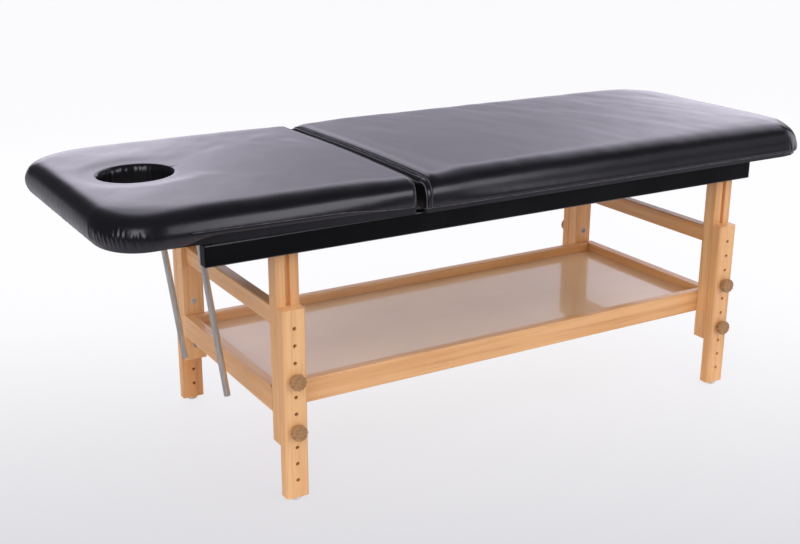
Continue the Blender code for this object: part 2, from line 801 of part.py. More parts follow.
# Props: a bent sheet bracket with a pin through its cheeks, and the tube that swings on the pin.
def prop_bracket():
    """A foot plate under the board and two round-ended cheeks, with the pin at the origin."""
    inner = prop_radius + bracket_side_clearance
    outer = inner + bracket_sheet
    top = prop_pin_below_board - seat_gap
    foot_size = (bracket_length, 2 * (outer + bracket_foot_width), bracket_sheet)
    foot_plate = box(foot_size, (0, 0, top - bracket_sheet / 2))
    half = bracket_cheek_width / 2
    round_end = half * bracket_cheek_round_share
    radii = (round_end, round_end, 0, 0)
    upright = Matrix.Rotation(quarter_turn, 4, "X")
    cheeks = []
    for start in (outer, -inner):
        cheek_top = top - bracket_sheet / 2
        outline = rounded_outline(-half, half, -bracket_below_pin, cheek_top, radii, corner_steps)
        cheeks.append(moved(extruded([outline], bracket_sheet), (0, start, 0), upright))
    hole = cylinder(
        prop_pin_radius + prop_pin_clearance,
        (0, -outer - overrun, 0),
        (0, outer + overrun, 0),
        prop_pin_steps,
    )
    return combined(combined(foot_plate, "UNION", cheeks), "DIFFERENCE", [hole])


def prop_tube():
    """The tube, open at its foot, with the pin's hole through its walls at the origin."""
    top = prop_pin_from_end
    foot = top - prop_length
    tube = cylinder(prop_radius, (0, 0, foot), (0, 0, top), prop_sides)
    bore = cylinder(prop_bore_radius, (0, 0, foot - overrun), (0, 0, top + overrun), prop_sides)
    reach = prop_radius + overrun
    hole = cylinder(prop_pin_radius + prop_pin_clearance, (0, -reach, 0), (0, reach, 0), prop_pin_steps)
    return combined(tube, "DIFFERENCE", [bore, hole])


bracket_outer = prop_radius + bracket_side_clearance + bracket_sheet + seat_gap
bracket_mesh = prop_bracket()
tube_mesh = prop_tube()
pin_head_end = bracket_outer + prop_pin_head_length
prop_pin_mesh = moved(
    turned(
        [
            (0, pin_head_end),
            (prop_pin_head_radius, pin_head_end),
            (prop_pin_head_radius, bracket_outer),
            (prop_pin_radius, bracket_outer),
            (prop_pin_radius, -bracket_outer),
            (prop_pin_head_radius, -bracket_outer),
            (prop_pin_head_radius, -pin_head_end),
            (0, -pin_head_end),
        ],
        prop_pin_steps,
    ),
    turn=Matrix.Rotation(quarter_turn, 4, "X"),
)
prop_x = leg_head_x - prop_before_post - joint_x
for side, sign in sides.items():
    pivot = (prop_x, sign * prop_spacing / 2, board_bottom - prop_pin_below_board)
    place(f"prop_bracket_{side}", bracket_mesh, "steel", pivot, parent=head_axis)
    place(f"prop_pin_{side}", prop_pin_mesh, "bright_steel", pivot, parent=head_axis)
    prop_axis = empty(f"prop_axis_{side}", pivot, head_axis)
    prop_axis.rotation_euler = (0, -head_rest_tilt - prop_lean, 0)
    place(f"prop_tube_{side}", tube_mesh, "steel", parent=prop_axis)
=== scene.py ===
"""The massage table in the studio: finishes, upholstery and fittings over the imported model."""

import math

import bmesh
import bpy
import numpy as np
from mathutils import Matrix, Vector
from mathutils.bvhtree import BVHTree


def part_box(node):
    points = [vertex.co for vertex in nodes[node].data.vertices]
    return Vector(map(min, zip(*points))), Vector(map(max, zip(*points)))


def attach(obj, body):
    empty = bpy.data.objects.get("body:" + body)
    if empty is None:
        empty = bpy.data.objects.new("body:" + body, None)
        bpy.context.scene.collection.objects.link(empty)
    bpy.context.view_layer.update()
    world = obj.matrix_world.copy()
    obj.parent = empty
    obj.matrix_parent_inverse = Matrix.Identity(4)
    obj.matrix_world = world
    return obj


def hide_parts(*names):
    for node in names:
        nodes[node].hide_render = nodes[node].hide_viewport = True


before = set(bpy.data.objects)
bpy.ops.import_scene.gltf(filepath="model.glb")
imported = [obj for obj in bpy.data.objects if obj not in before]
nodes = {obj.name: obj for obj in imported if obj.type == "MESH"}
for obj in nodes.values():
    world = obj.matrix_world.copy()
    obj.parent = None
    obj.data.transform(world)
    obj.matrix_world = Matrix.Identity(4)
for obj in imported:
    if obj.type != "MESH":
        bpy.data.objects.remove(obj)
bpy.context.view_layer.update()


# The camera stands off the near head-end corner, a little under twice as high as the table, and looks
# down along the top. Its place, turn and lens were solved from the leg holes and the rails' ends.
camera_place = (-1.5999, -2.4794, 1.3287)
camera_yaw, camera_pitch, camera_roll = 0.5403, -0.3210, 0.0044
ahead = Vector((
    math.sin(camera_yaw) * math.cos(camera_pitch),
    math.cos(camera_yaw) * math.cos(camera_pitch),
    math.sin(camera_pitch),
))
level_right = Vector((math.cos(camera_yaw), -math.sin(camera_yaw), 0))
level_up = level_right.cross(ahead)
right = level_right * math.cos(camera_roll) + level_up * math.sin(camera_roll)
up = level_up * math.cos(camera_roll) - level_right * math.sin(camera_roll)
lens = bpy.data.cameras.new("camera")
lens.sensor_width = 36
lens.lens = 53.716
lens.clip_end = 100
camera = bpy.data.objects.new("camera", lens)
bpy.context.scene.collection.objects.link(camera)
camera_turn = Matrix((right, up, -ahead)).transposed().to_4x4()
camera.matrix_world = Matrix.Translation(camera_place) @ camera_turn
bpy.context.scene.camera = camera


# The studio: a pale sweep of paper under eight soft lamps, of which four show in what is glossy. The
# black vinyl mirrors a tall pale wall behind the table, dimmer in one patch and dark at its two ends.
# Only glossy rays meet the wall, and to them the paper is darker. The sky is white to the camera, and
# an even grey to all other rays.
class Wire:
    """A socket of the material being made. Sums of wires and numbers add their own Math nodes."""

    tree = None

    def __init__(self, socket):
        self.socket = socket

    @classmethod
    def node(cls, kind, settings=None, inputs=None, output=0):
        """Adds a node of this kind, sets it up, and gives its sockets these values or wires."""
        made = cls.tree.nodes.new("ShaderNode" + kind)
        for name, value in (settings or {}).items():
            setattr(made, name, value)
        for name, value in (inputs or {}).items():
            if isinstance(value, Wire):
                cls.tree.links.new(value.socket, made.inputs[name])
            else:
                made.inputs[name].default_value = value
        return Wire(made.outputs[output])

    @property
    def flows(self):
        """Whether this carries three numbers, a place or a colour, rather than one."""
        return self.socket.type in ("VECTOR", "RGBA")

    def maths(self, operation, first, second):
        """One step of maths, on three numbers at once if either part carries three."""
        parts = (first, second)
        if any(isinstance(part, tuple) or (isinstance(part, Wire) and part.flows) for part in parts):
            spread = [part if isinstance(part, (Wire, tuple)) else (part,) * 3 for part in parts]
            return Wire.node("VectorMath", {"operation": operation}, dict(enumerate(spread)))
        return Wire.node("Math", {"operation": operation}, {0: first, 1: second})

    def __add__(self, other):
        return self.maths("ADD", self, other)

    __radd__ = __add__

    def __sub__(self, other):
        return self.maths("SUBTRACT", self, other)

    def __rsub__(self, other):
        return self.maths("SUBTRACT", other, self)

    def __mul__(self, other):
        return self.maths("MULTIPLY", self, other)

    __rmul__ = __mul__

    def above(self, low, high):
        """0 where this is under low, 1 where it is over high, and a smooth climb between."""
        return Wire.node(
            "MapRange",
            {"interpolation_type": "SMOOTHSTEP"},
            {"Value": self, "From Min": low, "From Max": high},
        )


def blend(share, first, second):
    """The first colour where the share is 0, and the second where it is 1."""
    first, second = (part if isinstance(part, Wire) else (*part, 1) for part in (first, second))
    return Wire.node("Mix", {"data_type": "RGBA"}, {"Factor": share, 6: first, 7: second}, output=2)


def piece_place():
    """The place on the piece itself, in metres."""
    return Wire.node("TexCoord", output="Object")


def reach_along(place, direction):
    """How far a place or a direction reaches along this direction."""
    return Wire.node("VectorMath", {"operation": "DOT_PRODUCT"}, {0: place, 1: direction}, output=1)


def one_axis(place, axis):
    """One of a place's three numbers, by the axis's name."""
    return Wire.node("SeparateXYZ", None, {0: place}, output=axis)


def is_ray(kind):
    """1 for rays of this kind, such as Camera or Glossy, and 0 for all others."""
    return Wire.node("LightPath", output=f"Is {kind} Ray")


def new_finish(name, **constants):
    """A new material whose Principled shader has these constants. The Wires that follow go into it."""
    made = bpy.data.materials.new(name)
    made.use_nodes = True
    Wire.tree = made.node_tree
    shader = made.node_tree.nodes["Principled BSDF"]
    for socket, value in constants.items():
        shader.inputs[socket.replace("_", " ")].default_value = value
    return made


def feed(made, **wires):
    """Joins these wires to the sockets of the material's shader."""
    shader = made.node_tree.nodes["Principled BSDF"]
    for socket, wire in wires.items():
        made.node_tree.links.new(wire.socket, shader.inputs[socket.replace("_", " ")])


world = bpy.data.worlds.new("studio")
bpy.context.scene.world = world
world.use_nodes = True
Wire.tree = world.node_tree
skyward = Wire.node("TexCoord", output="Generated")
sky_height = one_axis(skyward, "Z")
sky_rightward = one_axis(skyward, "X")
wall_low, wall_high, wall_dim = (1.46, 1.39, 1.58), (1.20, 1.15, 1.32), (0.47, 0.45, 0.535)
dark_front, dark_ceiling, even_grey = (0.05, 0.05, 0.055), (0.06, 0.06, 0.065), (0.84, 0.84, 0.86)
dim_patch = reach_along(skyward, (0.518, 0.829, 0.208)).above(0.962, 0.998)
wall = blend(dim_patch, blend(sky_height.above(0.05, 0.30), wall_low, wall_high), wall_dim)
behind_table = reach_along(skyward, (0.53, 0.848, 0.0)).above(0.05, 0.45)
left_end, right_end = sky_rightward.above(0.0, 0.18), sky_rightward.above(0.74, 0.88)
wall_and_front = blend(behind_table * left_end * (1 - right_end), dark_front, wall)
studio_mirrored = blend(sky_height.above(0.62, 0.95), wall_and_front, dark_ceiling)
unseen_sky = blend(is_ray("Glossy"), even_grey, studio_mirrored)
sky_colour = blend(is_ray("Camera"), unseen_sky, (1.0, 1.0, 1.0))
world.node_tree.links.new(sky_colour.socket, world.node_tree.nodes["Background"].inputs["Color"])

table_middle = Vector((0, 0, 0.6))
for lamp_name, place, width, depth, power, mirrored in (
    ("overhead_lamp", (0.3, -0.9, 3.4), 3.2, 2.4, 24, False),
    ("right_front_lamp", (1.5, -3.9, 1.65), 1.9, 1.2, 19, True),
    ("far_right_lamp", (4.6, -3.9, 1.75), 4.0, 1.9, 5, True),
    ("right_lamp", (5.2, -0.3, 1.1), 2.2, 1.6, 9, True),
    ("left_front_lamp", (-3.3, -3.1, 2.0), 1.6, 2.1, 27, True),
    ("left_lamp", (-4.2, -0.6, 1.5), 2.4, 2.0, 18, False),
    ("left_rear_lamp", (-0.4, 3.6, 1.7), 1.5, 1.3, 11, False),
    ("right_rear_lamp", (3.7, 2.2, 1.6), 1.5, 1.3, 11, False),
):
    light = bpy.data.lights.new(lamp_name, "AREA")
    light.shape = "RECTANGLE"
    light.size, light.size_y = width, depth
    light.energy = power
    light.color = (0.97, 0.96, 1.0)
    lamp = bpy.data.objects.new(lamp_name, light)
    lamp.location = place
    lamp.rotation_euler = (table_middle - lamp.location).to_track_quat("-Z", "Y").to_euler()
    lamp.visible_glossy = mirrored
    lamp.visible_camera = False
    bpy.context.scene.collection.objects.link(lamp)

floor_reach = 30
bed = bmesh.new()
bmesh.ops.create_grid(bed, x_segments=2, y_segments=2, size=floor_reach)
floor_mesh = bpy.data.meshes.new("floor")
bed.to_mesh(floor_mesh)
bed.free()
floor = bpy.data.objects.new("floor", floor_mesh)
bpy.context.scene.collection.objects.link(floor)
floor_finish = new_finish("studio_floor", Roughness=0.45, Specular_IOR_Level=0.3)
paper = floor_finish.node_tree
towards_wall = reach_along(piece_place(), (0.514, 0.858, 0.0))
# The paper is darker on the side towards the camera, a painted fall-off of light, and nearly black past a
# line further that way.
pale_with_painted_falloff = blend(towards_wall.above(-1.6, 0.9), (0.66, 0.65, 0.68), (0.985, 0.98, 1.0))
paper_edge = towards_wall.above(-2.0, -0.9)
shown_paper = blend(paper_edge, (0.10, 0.10, 0.11), pale_with_painted_falloff)
mirrored_paper = blend(paper_edge, (0.07, 0.07, 0.075), (0.44, 0.43, 0.45))
feed(floor_finish, Base_Color=blend(is_ray("Glossy"), shown_paper, mirrored_paper))
# To the camera the paper glows with that colour, so the table's shadow on it shows only faintly.
glow = Wire.node("Emission", None, {"Color": pale_with_painted_falloff, "Strength": 1.0})
lit_paper = Wire(paper.nodes["Principled BSDF"].outputs[0])
bright_floor = Wire.node("MixShader", None, {0: is_ray("Camera") * 0.88, 1: lit_paper, 2: glow})
paper.links.new(bright_floor.socket, paper.nodes["Material Output"].inputs["Surface"])
floor_mesh.materials.append(floor_finish)

bpy.context.scene.view_settings.view_transform = "Standard"


# Lower legs, posts, cross rails and shelf rails: planed light timber with eased edges under a clear
# satin lacquer. Each bar is cut along its grain. No two are alike in figure, and they vary in colour.
sapwood, heartwood, darkest_grain = (0.95, 0.55, 0.25), (0.72, 0.33, 0.115), (0.42, 0.17, 0.055)
pores_per_metre = 900


def noise(place, scale, detail=2.0, roughness=0.5):
    """A cloudy value from about 0.2 to 0.8, with this many clouds to the metre."""
    values = {"Vector": place, "Scale": scale, "Detail": detail, "Roughness": roughness}
    return Wire.node("TexNoise", None, values)


def bump(height, depth):
    """A surface that rises by up to this depth, in metres, where the height is 1."""
    return Wire.node("Bump", None, {"Height": height, "Distance": depth, "Strength": 1.0})


def drawn_out(axis, share):
    """The scale that draws a pattern out along this axis, the longer the less the share."""
    return tuple(share if name == axis else 1.0 for name in "xyz")


def timber(name, along, number, ripeness):
    """Lacquered timber with its grain along one axis, and from 0, pale, to 1, ripe and darker."""
    made = new_finish(name, Coat_Weight=0.6, Coat_Roughness=0.12)
    place = piece_place() + (3.17 * number, 1.31 * number, 2.73 * number)
    figure = place * drawn_out(along, 0.035)
    grain = figure + (noise(figure, 9.0, 1.0) - 0.5) * 0.035
    growth = noise(grain, 34.0, 3.0, 0.55)
    streaks = noise(grain, 165.0, 3.0, 0.6)
    pores = noise(place * drawn_out(along, 0.012), pores_per_metre).above(0.60, 0.72)
    depth = noise(place * 0.8, 2.2, 1.0)
    ripe = growth.above(0.34 - 0.10 * ripeness, 0.74 - 0.10 * ripeness) * 0.62
    ripe = ripe + depth.above(0.35, 0.75) * 0.30
    body = blend(ripe + ripeness * 0.22, sapwood, heartwood)
    lines = streaks.above(0.52, 0.74) * 0.34 + pores * 0.26
    colour = blend(lines, body, darkest_grain)
    from_knot = Wire.node("TexVoronoi", None, {"Vector": place * drawn_out(along, 0.35), "Scale": 5.2})
    knot = 1 - from_knot.above(0.018, 0.055)
    feed(
        made,
        Base_Color=blend(knot * 0.55, colour, darkest_grain),
        Roughness=0.36 + streaks * 0.16,
        Normal=bump(1 - pores * 0.7 - streaks * 0.3, 0.00012),
    )
    return made


bars = {
    "leg_near_head": ("z", 0.0),
    "leg_near_foot": ("z", 0.1),
    "leg_far_head": ("z", 0.75),
    "leg_far_foot": ("z", 0.5),
    "post_near_head": ("z", 0.55),
    "post_near_foot": ("z", 0.65),
    "post_far_head": ("z", 0.45),
    "post_far_foot": ("z", 0.6),
    "cross_rail_head": ("y", 0.6),
    "cross_rail_foot": ("y", 0.7),
    "shelf_end_rail_head": ("y", 0.15),
    "shelf_end_rail_foot": ("y", 0.6),
    "shelf_long_rail_near": ("x", 0.35),
    "shelf_long_rail_far": ("x", 0.65),
}
for number, (bar, (along, ripeness)) in enumerate(bars.items(), 1):
    nodes[bar].data.materials[0] = timber("timber_" + bar, along, number, ripeness)


# Foot glides: thin pads of pale rubber glued under the lower legs, which keep the timber off the floor.
# They are slightly grubby.
glide_rubber = new_finish("glide_rubber", Roughness=0.42)
scuffs = noise(piece_place(), 260.0, 3.0)
feed(glide_rubber, Base_Color=blend(scuffs.above(0.45, 0.75) * 0.5, (0.78, 0.76, 0.72), (0.50, 0.47, 0.43)))
for corner in ("near_head", "near_foot", "far_head", "far_foot"):
    nodes["foot_glide_" + corner].data.materials[0] = glide_rubber


# Knob bolts: a fluted knob moulded round the head of a zinc-plated bolt. Turned out, it frees the leg,
# which then slides in its post to another hole. The knob is a warm brown, paler and duller where it is
# handled.
def lathe(name, profile, around, wave=None):
    """A closed form turned about Z from (radius, height) points, with a wave that shapes each radius."""
    form = bmesh.new()
    rings = []
    for radius, height in profile:
        ring = []
        for step in range(around):
            angle = 2 * math.pi * step / around
            reach = radius * (wave(angle, radius, height) if wave else 1.0)
            ring.append(form.verts.new((reach * math.cos(angle), reach * math.sin(angle), height)))
        rings.append(ring)
    for below, above in zip(rings, rings[1:]):
        for step in range(around):
            after = (step + 1) % around
            form.faces.new((below[step], below[after], above[after], above[step]))
    form.faces.new(reversed(rings[0]))
    form.faces.new(rings[-1])
    bmesh.ops.recalc_face_normals(form, faces=form.faces)
    mesh = bpy.data.meshes.new(name)
    form.to_mesh(mesh)
    form.free()
    mesh.shade_smooth()
    mesh.set_sharp_from_angle(angle=math.radians(40))
    return mesh


knob_radius, knob_depth, collar_radius, collar_depth = 0.0186, 0.0160, 0.0112, 0.0040
stud_radius, thread_pitch, thread_depth = 0.0040, 0.00125, 0.00035
flutes, flute_depth = 12, 0.0015
knob_face = collar_depth + knob_depth
bolt_reach, bolt_gap, bolt_chamfer, threaded_length = 0.0651, 0.0004, 0.001, 0.0445
turn_steps = 4


def fluted(angle, radius, height):
    """Flutes round the rim, which fade out towards the face and the collar."""
    if radius < knob_radius - 0.0028:
        return 1.0
    hollow = (0.5 - 0.5 * math.cos(flutes * angle)) ** 1.6
    return 1 - flute_depth / knob_radius * hollow


def threaded(angle, radius, height):
    """A screw thread cut in the stud."""
    turn = (height / thread_pitch - angle / (2 * math.pi)) % 1.0
    return 1 - thread_depth / stud_radius * abs(2 * turn - 1)


knob_profile = [(0.0001, 0), (collar_radius - 0.0004, 0), (collar_radius, 0.0005)]
knob_profile += [(collar_radius, collar_depth), (0.0155, collar_depth + 0.0002)]
knob_profile += [(0.0172, collar_depth + 0.0012), (0.0180, collar_depth + 0.0028)]
knob_profile += [(knob_radius, collar_depth + 0.0050), (knob_radius, knob_face - 0.0042)]
knob_profile += [(0.0182, knob_face - 0.0018), (0.0172, knob_face - 0.0006)]
knob_profile += [(0.0158, knob_face), (0.0135, knob_face - 0.0002)]
knob_profile += [(0.0126, knob_face - 0.0009), (0.0100, knob_face - 0.0011)]
knob_profile += [(0.0050, knob_face - 0.0009), (0.0001, knob_face - 0.0008)]
knob_mesh = lathe("knob", knob_profile, around=120, wave=fluted)

knob_finish = new_finish("knob_brown", Coat_Weight=0.25, Coat_Roughness=0.25)
handled = noise(piece_place(), 190.0, 3.0)
flecks = noise(piece_place(), 1500.0, 1.0)
feed(
    knob_finish,
    Base_Color=blend(handled.above(0.3, 0.7), (0.33, 0.165, 0.062), (0.46, 0.25, 0.105)),
    Roughness=0.34 + handled * 0.22,
    Normal=bump(flecks, 0.00006),
)
knob_mesh.materials.append(knob_finish)

plated_steel = new_finish("plated_steel", Metallic=1.0)
streaked = noise(piece_place() * (1.0, 1.0, 0.2), 420.0, 3.0)
feed(
    plated_steel,
    Base_Color=blend(streaked.above(0.35, 0.7), (0.66, 0.66, 0.66), (0.50, 0.50, 0.49)),
    Roughness=0.24 + streaked * 0.16,
)

stud_length = bolt_reach - bolt_gap
steps = round(stud_length / thread_pitch * turn_steps)
bolt_profile = [(stud_radius * 0.8, -stud_length), (stud_radius, -stud_length + bolt_chamfer)]
for step in range(1, steps + 1):
    bolt_profile.append((stud_radius, -stud_length + bolt_chamfer + threaded_length * step / steps))
bolt_profile.append((stud_radius, 0.002))
stud_mesh = lathe("stud", bolt_profile, around=14, wave=threaded)
stud_mesh.materials.append(plated_steel)

for side, out in (("near", -1), ("far", 1)):
    for end in ("head", "foot"):
        for level in ("lower", "upper"):
            node = f"knob_bolt_{side}_{end}_{level}"
            low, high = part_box(node)
            middle = (low + high) / 2
            seat_y = high.y - bolt_reach if out < 0 else low.y + bolt_reach
            turn = Matrix.Rotation(math.pi / 2 if out < 0 else -math.pi / 2, 4, "X")
            for kind, mesh in (("knob", knob_mesh), ("bolt", stud_mesh)):
                made = bpy.data.objects.new(f"{kind}_{side}_{end}_{level}", mesh)
                bpy.context.scene.collection.objects.link(made)
                made.matrix_world = Matrix.Translation((middle.x, seat_y, middle.z)) @ turn
                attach(made, f"knob_{side}_{end}_{level}")
                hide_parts(node)
            nodes[f"tee_nut_{side}_{end}_{level}"].data.materials[0] = plated_steel


# Side rails of the top frame: sawn timber sprayed satin black. The grain shows faintly through the
# paint, and the bevels of the long edges are a paler grey in patches: a painted highlight.
rail_paint = new_finish("black_rail_paint", Specular_IOR_Level=0.16)
facing = Wire.node("NewGeometry", output="True Normal")
aslant = one_axis(facing, "Y") * one_axis(facing, "Z")
# The bevels of the long edges, where the faces lie aslant, take a paler grey: a painted highlight.
painted_edge_highlight = Wire.node("Math", {"operation": "ABSOLUTE"}, {0: aslant}).above(0.15, 0.35)
along_rail = piece_place() * (0.03, 1.0, 1.0)
paint_grain = noise(along_rail, 240.0, 3.0)
dust_and_sheen = noise(piece_place(), 7.0, 3.0)
feed(
    rail_paint,
    # A painted highlight: paler grey on the edge bevels, broken up by the dust blotches.
    Base_Color=blend(
        painted_edge_highlight * (0.25 + dust_and_sheen * 0.9),
        blend(dust_and_sheen.above(0.4, 0.8), (0.0028, 0.0025, 0.0032), (0.0060, 0.0054, 0.0066)),
        (0.16, 0.15, 0.16),
    ),
    Roughness=0.34 + paint_grain * 0.14,
    Normal=bump(paint_grain, 0.00015),
)
for side in ("near", "far"):
    nodes["side_rail_" + side].data.materials[0] = rail_paint


# Shelf panel: a board with a glossy pale laminate, pinkish beige, let into a groove in its four rails.
# It mirrors the posts softly, with a faint ripple that pressed laminate has.
laminate = new_finish("shelf_laminate", Coat_Weight=1.0, Coat_Roughness=0.05)
cloud = noise(piece_place() * (0.6, 1.0, 1.0), 5.0, 3.0)
print_grain = noise(piece_place() * (0.05, 1.0, 1.0), 130.0, 4.0)
ripple = noise(piece_place(), 42.0, 1.0)
feed(
    laminate,
    Base_Color=blend(
        cloud.above(0.3, 0.75) * 0.6 + print_grain * 0.35,
        (0.96, 0.64, 0.38),
        (0.88, 0.54, 0.30),
    ),
    Roughness=0.20 + cloud * 0.10,
    Normal=bump(ripple, 0.00008),
)
nodes["shelf_panel"].data.materials[0] = laminate


# Hinges, prop brackets, pins and props. The hinges and brackets are pressed steel with a dull zinc
# coat, and are screwed on. The props are paler drawn tubes, which hang on bright plated pins.
zinc = new_finish("dull_zinc", Metallic=1.0)
spangle = noise(piece_place(), 120.0, 3.0)
rubbed = noise(piece_place() * (1.0, 1.0, 0.08), 700.0, 2.0)
feed(
    zinc,
    Base_Color=blend(spangle.above(0.35, 0.7), (0.47, 0.46, 0.44), (0.34, 0.33, 0.32)),
    Roughness=0.30 + rubbed * 0.22,
    Normal=bump(rubbed, 0.00003),
)
drawn_steel = new_finish("drawn_steel", Metallic=1.0)
drawn = noise(piece_place() * (1.0, 1.0, 0.05), 260.0, 2.0)
feed(
    drawn_steel,
    Base_Color=blend(drawn.above(0.35, 0.7), (0.80, 0.77, 0.72), (0.66, 0.63, 0.58)),
    Roughness=0.30 + drawn * 0.12,
)
for side in ("near", "far"):
    for part in ("hinge_head_leaf_", "hinge_body_leaf_", "hinge_pin_", "prop_bracket_"):
        nodes[part + side].data.materials[0] = zinc
    nodes["prop_tube_" + side].data.materials[0] = drawn_steel
    nodes["prop_pin_" + side].data.materials[0] = plated_steel


# Rest pads: strips of black sponge rubber glued along the rails' ends, which the head board lies on.
sponge = new_finish("black_sponge_rubber", Roughness=0.82)
cells = Wire.node("TexVoronoi", None, {"Vector": piece_place(), "Scale": 900.0})
feed(
    sponge,
    Base_Color=blend(cells.above(0.1, 0.6), (0.012, 0.012, 0.013), (0.03, 0.03, 0.031)),
    Normal=bump(cells, 0.0003),
)
for side in ("near", "far"):
    nodes["rest_pad_" + side].data.materials[0] = sponge


# Boards: plywood wrapped in the same black vinyl as the cushions, pulled over the edges from above.
# The vinyl has a fine pressed grain, a satin skin and shallow creases where it has been stretched.
def vinyl_finish(name, creases):
    """Black upholstery vinyl, with creases as deep as asked."""
    made = new_finish(
        name,
        Specular_IOR_Level=0.55,
        Specular_Tint=(0.94, 0.91, 1.0, 1.0),
        Coat_Weight=0.80,
        Coat_Roughness=0.20,
        Coat_Tint=(0.96, 0.95, 1.0, 1.0),
    )
    place = piece_place()
    pressed = {"Vector": place, "Scale": 620.0, "Smoothness": 0.6}
    pebbles = Wire.node("TexVoronoi", {"feature": "SMOOTH_F1"}, pressed) + noise(place, 300.0) * 0.5
    wear = noise(place * (1.0, 0.6, 1.0), 5.0, 4.0, 0.6)
    rumple = noise(place * (0.55, 1.0, 1.0), 13.0, 3.0, 0.55)
    heights = pebbles * 0.05 + rumple * creases
    feed(
        made,
        Base_Color=blend(wear.above(0.35, 0.75), (0.0022, 0.0020, 0.0027), (0.0052, 0.0048, 0.0062)),
        Roughness=0.24 + wear * 0.12 + pebbles * 0.03,
        Normal=bump(heights, 0.0016),
    )
    return made


wrap = vinyl_finish("board_vinyl", creases=0.35)
for board in ("head_board", "body_board"):
    nodes[board].data.materials[0] = wrap


# Body cushion: a long foam block under stretched black vinyl. The cover rolls over the sides in one soft
# curve, is gathered a little under the foot corners, and has a boxed band sewn in at the joint. The
# seam below is stapled to the board.
class Cushion:
    """The form of one cushion. Lengths run in from its edges, and heights up from its seam."""

    # The steps along a side, close together by the joint, and the steps round each outer corner.
    fine_steps = (0, 0.0015, 0.003, 0.005, 0.0075, 0.010, 0.0125, 0.015, 0.018, 0.022, 0.028, 0.036)
    coarse_step, arc_steps, joint_steps, joint_end_extra = 0.012, 44, 5, 16
    # How far in and how high each ring of the lower edge runs, where it is sewn and where it is wrapped.
    sewn_edge = (
        (0.0113, 0.0), (0.0098, 0.0), (0.0082, 0.0001),
        (0.0065, 0.0003), (0.0030, 0.0012), (0.0010, 0.0036),
    )
    wrapped_edge = (
        (0.0113, -0.0005), (0.0112, -0.0160), (0.0104, -0.0168),
        (0.0085, -0.0145), (0.0045, -0.0080), (0.0014, 0.0005),
    )
    wrap_blend, bunched = 0.09, 0.36
    half = 0.350
    side_base, shoulder, side_steps = 0.0085, 0.048, 14
    roll_power, crown_power, crown_rim = 2.6, 1.4, 0.04
    corner_fall = 0.32

    def __init__(self, joint_x, outer_x, seam_z, height, crown, thinning, corner, roll_width):
        self.joint_x, self.outer_x, self.seam_z = joint_x, outer_x, seam_z
        self.out = 1 if outer_x > joint_x else -1
        self.edge_height, self.crown, self.thinning = height - crown, crown, thinning
        self.corner, self.roll_width = corner, roll_width

    def end_in(self, joint_corner, joint_round, joint_power, wrap_reach):
        """Sets the joint end's corners and edge, and how much of the board's edge the vinyl wraps."""
        self.joint_corner, self.joint_round, self.joint_power = joint_corner, joint_round, joint_power
        self.wrap_reach = wrap_reach

    def rolled(self, depth, x):
        """The cushion's height this far in from its sides, where the foam has thinned as it does at x."""
        base = self.side_base
        full = self.edge_height - self.thinning(abs(x - self.joint_x))
        share = min(max(1 - depth / self.roll_width, 0), 1)
        rise = base + (full - base) * (1 - share**self.roll_power) ** (1 / self.roll_power)
        inward = min(max(depth / (self.half - self.crown_rim), 0), 1)
        return rise + self.crown * (1 - (1 - inward) ** self.crown_power)

    def depth_at(self, x, y):
        """How far in from the sides and the round outer end a place lies. The corners roll over wider."""
        along = self.out * (x - self.outer_x) + self.corner
        across = abs(y) - self.half + self.corner
        beyond = math.hypot(max(along, 0), max(across, 0))
        depth = self.corner - beyond - min(max(along, across), 0)
        if beyond > 0:
            skew = 2 * max(along, 0) * max(across, 0) / beyond**2
            depth /= 1 + self.corner_fall * skew * min(1.5 * beyond / self.corner, 1)
        return depth

    def top_at(self, x, y):
        """The height of the top, which falls away in a small round at the joint end."""
        depth = self.depth_at(x, y)
        in_joint = min(max(1 - self.out * (x - self.joint_x) / self.joint_round[0], 0), 1)
        power = self.joint_power
        drop = self.joint_round[1] * (1 - (1 - in_joint**power) ** (1 / power))
        drop *= min(depth / self.crown_rim, 1)
        return self.rolled(depth, x) - drop

    def ring(self, inset):
        """The plan of the cover this far in from the sides, as points from the near joint corner round."""
        out, half = self.out, self.half - inset
        outer = self.outer_x - out * inset
        bend = max(self.corner - inset, 0.02)
        quarter = math.pi / 2
        nearest = self.joint_x + out * self.joint_corner
        farthest = outer - out * bend
        fine_end = self.fine_steps[-1]
        count = round((abs(self.outer_x - self.joint_x) - self.corner - fine_end) / self.coarse_step)
        span = abs(farthest - nearest) - fine_end
        runs = list(self.fine_steps) + [fine_end + span * step / count for step in range(1, count)]
        across = round((2 * self.half - 2 * self.corner) / self.coarse_step)
        points = [(nearest + out * run, -half) for run in runs]
        for step in range(self.arc_steps):
            angle = quarter * step / self.arc_steps
            points.append((farthest + out * bend * math.sin(angle), -half + bend - bend * math.cos(angle)))
        straight = 2 * half - 2 * bend
        points += [(outer, -half + bend + straight * step / across) for step in range(across)]
        for step in range(self.arc_steps):
            angle = quarter * step / self.arc_steps
            points.append((farthest + out * bend * math.cos(angle), half - bend + bend * math.sin(angle)))
        points.append((farthest, half))
        points += [(nearest + out * run, half) for run in reversed(runs[1:])]
        curl = self.joint_corner
        side = half - curl
        for step in range(self.joint_steps):
            angle = quarter * step / self.joint_steps
            points.append((nearest - out * curl * math.sin(angle), side + curl * math.cos(angle)))
        end_count = across + self.joint_end_extra
        points += [(self.joint_x, side - 2 * side * step / end_count) for step in range(end_count)]
        for step in range(self.joint_steps):
            angle = quarter * step / self.joint_steps
            points.append((nearest - out * curl * math.cos(angle), -side - curl * math.sin(angle)))
        return points

